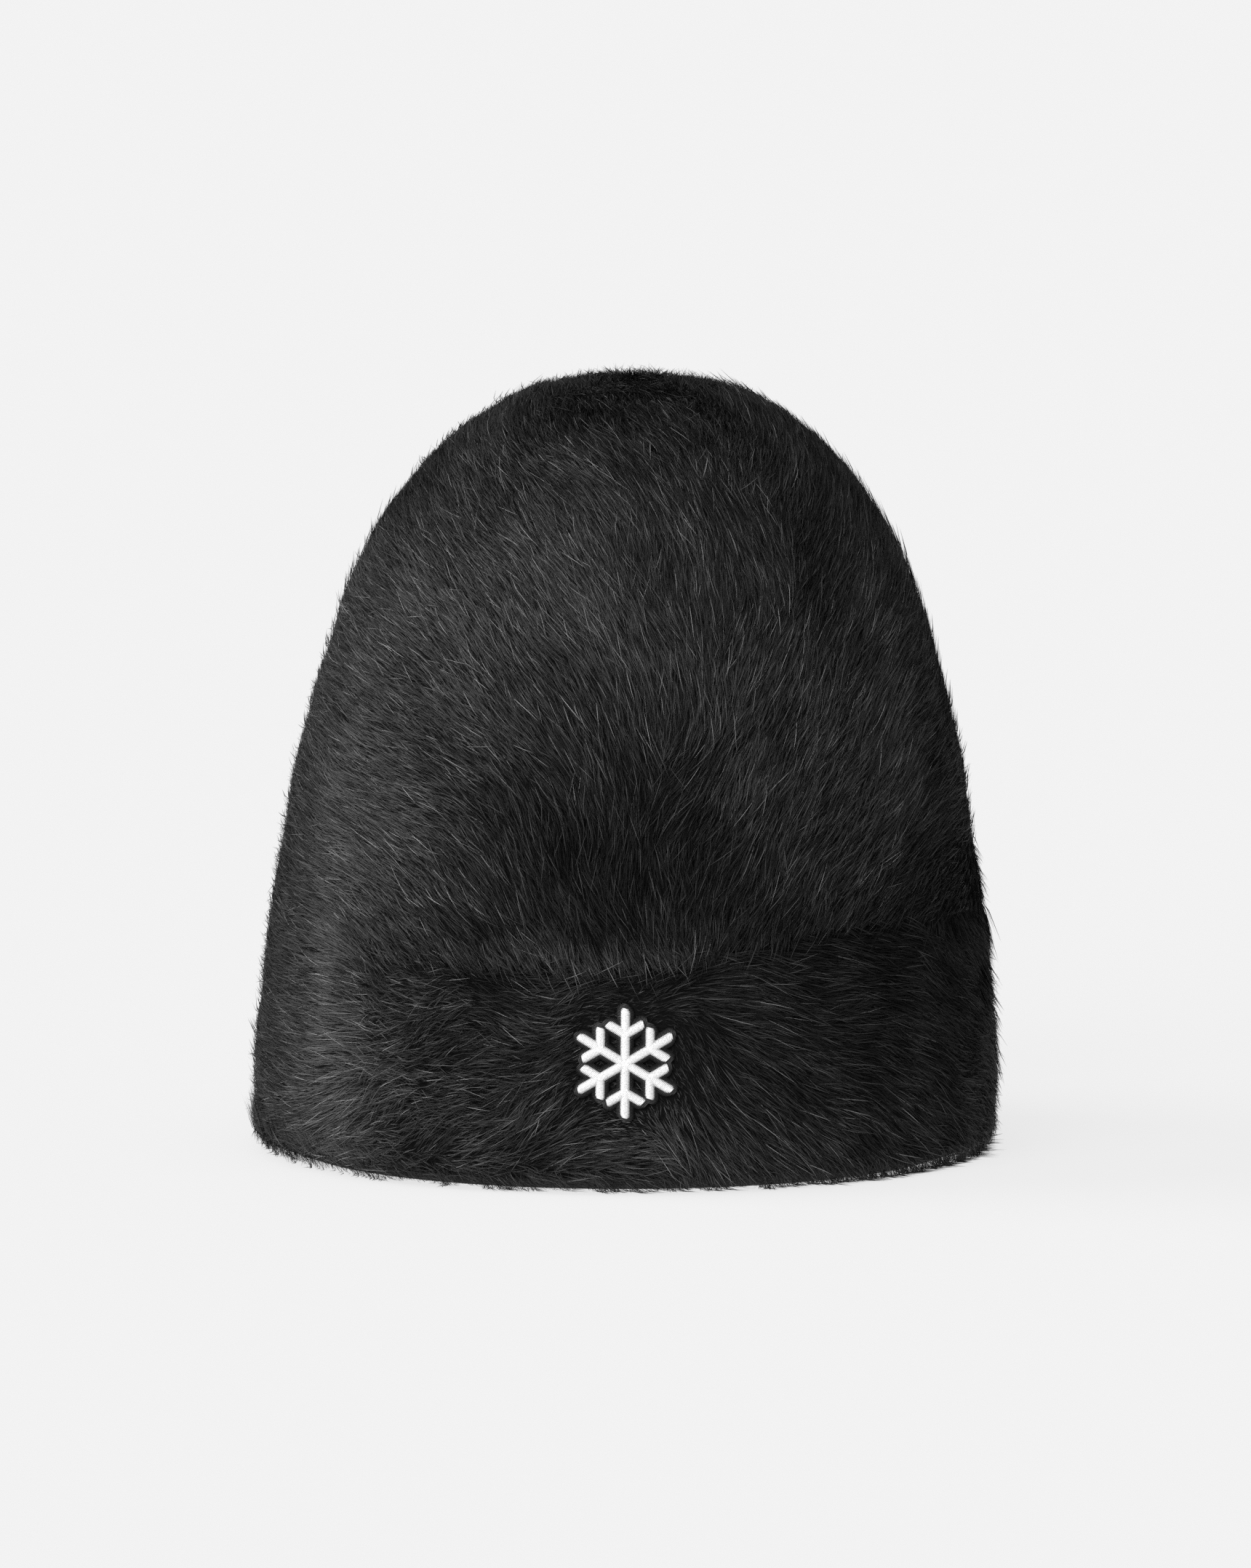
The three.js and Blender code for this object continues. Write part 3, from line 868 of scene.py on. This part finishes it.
def ribbons(points, widths, roll):
    """The corners of flat ribbons along the points, pointed at both ends."""
    ahead = unit(points[-1] - points[0])
    side = unit(np.cross(ahead, np.array([0.13, 0.31, 0.94])))
    other = np.cross(ahead, side)
    flat = np.cos(roll)[:, None] * side + np.sin(roll)[:, None] * other
    corners = [points[0]]
    for point, width in zip(points[1:-1], widths):
        corners += [point + flat * width[:, None] / 2, point - flat * width[:, None] / 2]
    corners.append(points[-1])
    return settle(np.stack(corners, axis=1))


def ribbon_piece(name, corners, tone, stops, material, *nodes):
    """The ribbons as one mesh. Their UVs hold the tone across and the root-to-tip
    place upwards."""
    count, per, _ = corners.shape
    middles = (per - 2) // 2
    faces = [[0, 2, 1]]
    for i in range(middles - 1):
        faces.append([1 + 2 * i, 2 + 2 * i, 4 + 2 * i, 3 + 2 * i])
    faces.append([per - 3, per - 2, per - 1])
    sizes = [len(face) for face in faces]
    flat_faces = np.concatenate([np.array(face) for face in faces])
    loops = (np.arange(count)[:, None] * per + flat_faces).ravel()
    strip = np.floor(np.clip(tone, 0, 0.999) * TONE_STEPS)
    shift = np.array([0.5] + [STEP_MARGIN, 1 - STEP_MARGIN] * middles + [0.5])
    uv = np.zeros((count, per, 2))
    uv[:, :, 0] = (strip[:, None] + shift) / TONE_STEPS
    uv[:, :, 1] = np.array([0.01] + [s for s in stops[1:-1] for _ in (0, 1)] + [0.99])
    piece = new_mesh(name, corners.reshape(-1, 3), loops, np.tile(sizes, count),
                     uv.reshape(-1, 2), smooth=False)
    return finish_piece(piece, "black_pile", material, *nodes)


def brushed_back(bearing, above, rng):
    """Which strands lie the other way round: most of those on the left side, and
    on the right side those well above the cuff."""
    degrees = (np.degrees(bearing) + 180) % 360 - 180
    left = between(-degrees, *BACKWARD_LEFT)
    right = between(degrees, *BACKWARD_RIGHT) * smoothstep(above, *BACKWARD_ABOVE)
    return rng.uniform(size=len(bearing)) < left + right


def keep_clear(share, bearing, size, stand):
    """Shortens the strands round the emblem and props them up to its height, and
    says which ones may stay."""
    u, v = on_emblem_face(share, bearing)
    away = np.where(np.cos(bearing) > 0, distance_to_snowflake(u, v), 1e9)
    grown = smoothstep(away, CLEAR_SHORT, CLEAR_LONG)
    size = size * (CLEAR_SHORTEST + (1 - CLEAR_SHORTEST) * grown)
    stand = stand + CLEAR_PROP * (1 - smoothstep(away, CLEAR_PROP_NEAR, CLEAR_PROP_FAR))
    return size, stand, away > EMBLEM_STITCH / 2 + EMBLEM_BORDER


def fall_over_cuff(root, bearing, turn, stand, size, rng):
    """Shortens the crown's strands to end a little past the cuff's edge, and
    props them up there. Returns their stand and size, how far above the edge
    each one starts, and how clear the edge is there."""
    strength = crease_strength(bearing)
    above = root[:, 2] - cuff_top_at(bearing) + EDGE_WAVE * ripple(root, 11, 13)
    near = np.exp(-(above / CREASE_PUFF_HEIGHT) ** 2) * (above > 0) * strength
    stand = stand + near * CREASE_PUFF * np.cos(bearing) ** 2
    reach = size * np.cos(stand) * np.cos(turn)
    uneven = np.clip(0.8 + 0.4 * ripple(root, 8, 14), 0.2, 1.4)
    past = LEAST_OVERLAP + MOST_OVERLAP * rng.beta(1.0, 2.2, len(size)) * uneven
    too_far = (above > 0) & (reach > above + past)
    shortened = size * np.clip((above + past) / np.maximum(reach, 0.1), 0.4, 1)
    size = np.where(too_far, size + (shortened - size) * strength, size)
    return stand, size, above, strength


def make_pile():
    material = pile_material()
    rng = np.random.default_rng(11)
    share, bearing = scattered(TUFTS, 1)
    height = form(share, bearing)[:, 2]
    top = cuff_top_at(bearing)
    turn, stand, ruffle, shade = lie(share, bearing, height < top)
    hanging = 1 - smoothstep(height, *HEM_HANG)
    acute = np.arcsin(np.sin(turn))
    turn = turn + hanging * (HEM_TURN * acute - turn + HEM_SPREAD * rng.normal(size=TUFTS))
    turn = turn + TUFT_CURL * ruffle * rng.normal(size=TUFTS)
    bend = TUFT_CURL * ruffle * rng.normal(size=TUFTS)
    side = smoothstep(np.abs(np.sin(bearing)), 0.6, 0.95)
    long = STRAND_LENGTH * rng.uniform(0.85, 1.2, TUFTS) * (1 + SIDE_LENGTHENING * side)
    pull = TUFT_PULL + RUFFLED_PULL * ruffle
    # shade, from lie, carries the painted light and shade of the patches
    tuft_tone = shade + rng.uniform(-TUFT_TONE_SPREAD, TUFT_TONE_SPREAD, TUFTS)

    which = np.repeat(np.arange(TUFTS), STRANDS_PER_TUFT)
    total = len(which)
    away = TUFT_RADIUS * np.sqrt(rng.uniform(0, 1, total)) * rng.uniform(0.8, 1.4, total)
    spin = rng.uniform(0, 2 * math.pi, total)
    to_right, to_down = away * np.cos(spin), away * np.sin(spin)
    root_share = np.clip(share[which] + to_down / curve_length, FIRST_ROOT, LAST_SHARE)
    root_bearing = bearing[which] + to_right / reach_round(share, bearing)[which]
    s_turn = turn[which] + STRAND_SPREAD * rng.normal(size=total)
    s_turn += math.pi * brushed_back(root_bearing, (height - top)[which], rng)
    s_stand = np.clip(stand[which] * rng.uniform(0.6, 1.5, total), *STRAND_STAND_LIMITS)
    astray = (rng.uniform(size=total) < STRAY_SHARE) * (1 - SIDE_TIDINESS * side[which])
    s_stand = s_stand + STRAY_STAND * astray
    size = long[which] * rng.uniform(0.55, 1.1, total)
    s_bend = bend[which] + STRAND_CURL * rng.normal(size=total)
    closing = pull[which] * (to_right * np.cos(s_turn) - to_down * np.sin(s_turn))

    root = form(root_share, root_bearing)
    s_stand, size, above, strength = fall_over_cuff(
        root, root_bearing, s_turn, s_stand, size, rng)
    size, s_stand, stays = keep_clear(root_share, root_bearing, size, s_stand)
    thin = np.exp(-((above + CREASE_THIN_DEPTH) / CREASE_THIN_HALF) ** 2)
    stays &= rng.uniform(size=total) > CREASE_THINNING * strength * thin

    stops = (0.0, 0.42, 1.0)
    points = paths(root_share, root_bearing, s_turn, s_stand, size, s_bend, closing, stops)
    width = STRAND_WIDTH * rng.uniform(0.6, 1.3, total)
    corners = ribbons(points, [width], rng.uniform(0, math.pi, total))
    under_edge = strength * np.exp(-((above + EDGE_SHADOW_DEPTH) / EDGE_SHADOW_HALF) ** 2)
    # each strand's tone carries its tuft's painted light and shade
    tone = rng.beta(3.4, 4.3, total) * PALEST_STRAND + tuft_tone[which]
    tone = np.clip(tone - EDGE_SHADOW * under_edge, 0, PALEST_STRAND)

    crown = above > 0
    front = np.cos(root_bearing) > 0
    left = np.sin(root_bearing) < 0
    for name, chosen, nodes in (
        ("crown_pile_front_left", crown & front & left, ["crown"]),
        ("crown_pile_front_right", crown & front & ~left, []),
        ("crown_pile_back_left", crown & ~front & left, []),
        ("crown_pile_back_right", crown & ~front & ~left, []),
        ("cuff_pile_front", ~crown & front, ["cuff"]),
        ("cuff_pile_back", ~crown & ~front, []),
    ):
        chosen = chosen & stays
        ribbon_piece(name, corners[chosen], tone[chosen], stops, material, *nodes)
    make_guard_hairs(material)
    make_hem_fringe(material)


def make_guard_hairs(material):
    """Long thin hairs that lie over the pile, paler than it: their pale tone is painted highlight,
    glints along single hairs.
    """
    rng = np.random.default_rng(23)
    share, bearing = scattered(GUARD_HAIRS, 2)
    height = form(share, bearing)[:, 2]
    above = height - cuff_top_at(bearing)
    turn, stand, _, shade = lie(share, bearing, above < 0)
    turn = turn + GUARD_SPREAD * rng.normal(size=GUARD_HAIRS)
    turn = turn + math.pi * brushed_back(bearing, above, rng)
    stand = np.clip(stand * rng.uniform(0.9, 1.7, GUARD_HAIRS), *GUARD_STAND_LIMITS)
    size = GUARD_LENGTH * rng.uniform(0.55, 1.15, GUARD_HAIRS)
    size, stand, stays = keep_clear(share, bearing, size, stand)
    stays &= (height > GUARD_OFF_FLOOR) & (np.abs(above) > GUARD_OFF_EDGE)
    bend = GUARD_CURL * rng.normal(size=GUARD_HAIRS)
    stops = (0.0, 0.33, 0.66, 1.0)
    points = paths(share, bearing, turn, stand, size, bend, 0.0, stops)
    width = GUARD_WIDTH * rng.uniform(0.7, 1.2, GUARD_HAIRS)
    corners = ribbons(points, [width, width * 0.8], rng.uniform(0, math.pi, GUARD_HAIRS))
    # part of the patches' painted light and shade
    painted_light_and_shade = np.where(shade < 0, GUARD_IN_PAINTED_SHADE, GUARD_IN_PAINTED_LIGHT) * shade
    # painted highlight: the guard hairs are paler than any strand
    tone = PALEST_STRAND + GUARD_HIGHLIGHT_TONES * rng.beta(0.8, 1.8, GUARD_HAIRS) + painted_light_and_shade
    tone = np.clip(tone, 0.5, 1)
    ribbon_piece("guard_hairs", corners[stays], tone[stays], stops, material)


def make_hem_fringe(material):
    """Short hairs that splay over the hem all the way round."""
    rng = np.random.default_rng(31)
    share = rng.uniform(*FRINGE_SHARES, FRINGE_HAIRS)
    bearing = rng.uniform(-math.pi, math.pi, FRINGE_HAIRS)
    turn, _, _, _ = lie(share, bearing, np.ones(FRINGE_HAIRS, bool))
    acute = np.arcsin(np.sin(turn))
    turn = FRINGE_TURN * acute + FRINGE_SPREAD * rng.normal(size=FRINGE_HAIRS)
    stand = np.radians(rng.uniform(*FRINGE_STANDS, FRINGE_HAIRS))
    size = FRINGE_LENGTH * rng.uniform(0.6, 1.2, FRINGE_HAIRS)
    bend = FRINGE_CURL * rng.normal(size=FRINGE_HAIRS)
    stops = (0.0, 0.45, 1.0)
    points = paths(share, bearing, turn, stand, size, bend, 0.0, stops)
    width = STRAND_WIDTH * rng.uniform(0.6, 1.1, FRINGE_HAIRS)
    corners = ribbons(points, [width], rng.uniform(0, math.pi, FRINGE_HAIRS))
    tone = FRINGE_PALEST * rng.beta(2.0, 2.6, FRINGE_HAIRS)
    ribbon_piece("hem_fringe", corners, tone, stops, material)


# The embroidery: threads laid side by side across each bar
THREAD_PITCH = 0.38
THREAD_RADIUS = 0.22
THREAD_SLANT = 0.28  # along the bar, for each millimetre across it
THREAD_SIDES = 5
THREAD_STEPS = 5


def emblem_point(face, lift):
    share = share_at(EMBLEM_HEIGHT + face[..., 1])
    return form(share, face[..., 0] / half_width_at(share), lift)


def threads_over(bars, width, low, high):
    """Centrelines of satin stitches: an arch over the bar for each thread."""
    lines = []
    across = np.linspace(-1, 1, THREAD_STEPS)
    for start, end in bars:
        length = np.linalg.norm(end - start)
        along = (end - start) / length
        beside = np.array([-along[1], along[0]])
        for step in np.arange(-width / 2, length + width / 2, THREAD_PITCH):
            beyond = max(-step, step - length, 0.0)
            half = math.sqrt(max((width / 2) ** 2 - beyond ** 2, 0.0))
            if half < 0.3:
                continue
            place = step + across * half * THREAD_SLANT
            face = start + place[:, None] * along + (across * half)[:, None] * beside
            lift = low + (high - low) * np.sqrt(np.clip(1 - (across * 0.96) ** 2, 0, 1))
            lines.append(emblem_point(face, lift))
    return np.array(lines)


def threads(name, lines, slot, material, *nodes):
    """Tubes along the centrelines, as one mesh."""
    count, steps, _ = lines.shape
    ahead = unit(np.gradient(lines, axis=1))
    side = unit(np.cross(ahead, np.array([0.0, -1.0, 0.0])))
    out = np.cross(side, ahead)
    angle = np.arange(THREAD_SIDES) * 2 * math.pi / THREAD_SIDES
    ring = (np.cos(angle)[:, None] * side[:, :, None] + np.sin(angle)[:, None] * out[:, :, None])
    vertices = lines[:, :, None] + THREAD_RADIUS * ring
    per_tube, sizes_one = ring_loops(steps, THREAD_SIDES)
    caps = np.concatenate([np.arange(THREAD_SIDES), (steps - 1) * THREAD_SIDES
                           + np.arange(THREAD_SIDES)[::-1]])
    per_tube = np.concatenate([per_tube, caps])
    sizes_one = np.concatenate([sizes_one, [THREAD_SIDES, THREAD_SIDES]])
    offset = np.arange(count)[:, None] * steps * THREAD_SIDES
    loops = (offset + per_tube).ravel()
    sizes = np.tile(sizes_one, count)
    piece = new_mesh(name, vertices.reshape(-1, 3), loops, sizes)
    return finish_piece(piece, slot, material, *nodes)


def make_emblem():
    bars = snowflake_bars()
    dark = thread_material("black_thread", 0.008, 0.02, 0.5)
    pale = thread_material("white_thread", 0.62, 0.86, 0.45)
    ground = threads_over(bars, EMBLEM_STITCH + 2 * EMBLEM_BORDER, GROUND_LOW, GROUND_HIGH)
    threads("emblem_border_threads", ground, "black_thread", dark, "emblem_ground")
    stitches = threads_over(bars, EMBLEM_STITCH, STITCH_LOW, STITCH_HIGH - THREAD_RADIUS)
    threads("emblem_threads", stitches, "white_thread", pale, "emblem_stitching")


# The camera, placed as the photograph's was; its distance in metres
VIEW_HEIGHT = 399.5 * MM  # what the frame's height takes in at the cap's middle
CAMERA_DISTANCE = 4.0
CAMERA_ELEVATION = math.radians(5.25)
AIM = Vector((0.2 * MM, 0.0, 92.8 * MM))
SENSOR = 36.0


def make_camera():
    data = bpy.data.cameras.new("camera")
    camera = bpy.data.objects.new("camera", data)
    bpy.context.scene.collection.objects.link(camera)
    data.sensor_fit = "VERTICAL"
    data.sensor_height = SENSOR
    data.lens = SENSOR * CAMERA_DISTANCE / VIEW_HEIGHT
    data.clip_end = 100.0
    away = Vector((0.0, -math.cos(CAMERA_ELEVATION), math.sin(CAMERA_ELEVATION)))
    camera.location = AIM + away * CAMERA_DISTANCE
    camera.rotation_euler = (math.pi / 2 - CAMERA_ELEVATION, 0.0, 0.0)
    bpy.context.scene.camera = camera


FLOOR_HALF = 40.0  # metres
FLOOR_ALBEDO = 0.12
FLOOR_GLOW = 0.75  # a lightbox floor, so that shadows on it stay faint


def make_floor():
    signs = np.array([(-1, -1, 0), (1, -1, 0), (1, 1, 0), (-1, 1, 0)])
    corners = signs * FLOOR_HALF
    floor = new_mesh("floor", corners / MM, np.arange(4), np.array([4]))
    nodes = Nodes("pale_floor")
    nodes.set(Roughness=0.9)
    nodes.shader.inputs["Specular IOR Level"].default_value = 0.0
    nodes.shader.inputs["Base Color"].default_value = (*[FLOOR_ALBEDO] * 3, 1.0)
    nodes.shader.inputs["Emission Color"].default_value = (1.0, 1.0, 1.0, 1.0)
    nodes.shader.inputs["Emission Strength"].default_value = FLOOR_GLOW
    floor.data.materials.append(nodes.material)


def make_sun(name, strength, softness, bearing, elevation):
    """A soft light far away, from that bearing seen from above and that height."""
    data = bpy.data.lights.new(name, "SUN")
    data.energy = strength
    data.angle = math.radians(softness)
    light = bpy.data.objects.new(name, data)
    bpy.context.scene.collection.objects.link(light)
    bearing, elevation = math.radians(bearing), math.radians(elevation)
    way = Vector((math.sin(bearing) * math.cos(elevation),
                  -math.cos(bearing) * math.cos(elevation), math.sin(elevation)))
    light.rotation_euler = way.to_track_quat("Z", "Y").to_euler()


# name, brightness of a white surface that faces it, bearing and elevation in degrees
LIGHTS = [
    ("left_softbox", 1.04, -95.0, 17.0),
    ("front_fill", 0.86, -18.0, 18.0),
    ("overhead", 0.36, 0.0, 85.0),
]
LIGHT_SOFTNESS = 50.0  # degrees across
WORLD_STRENGTH = 0.22


def make_lights():
    world = bpy.data.worlds.new("studio")
    world.use_nodes = True
    background = world.node_tree.nodes["Background"]
    background.inputs["Strength"].default_value = WORLD_STRENGTH
    background.inputs["Color"].default_value = (1.0, 1.0, 1.0, 1.0)
    bpy.context.scene.world = world
    for name, strength, bearing, elevation in LIGHTS:
        make_sun(name, strength * math.pi, LIGHT_SOFTNESS, bearing, elevation)
    bpy.context.scene.cycles.use_denoising = False
    bpy.context.scene.view_settings.view_transform = "Standard"


make_camera()
make_floor()
make_lights()
knit = knit_material()
crown_wall(knit)
cuff_wall(knit)
make_pile()
make_emblem()
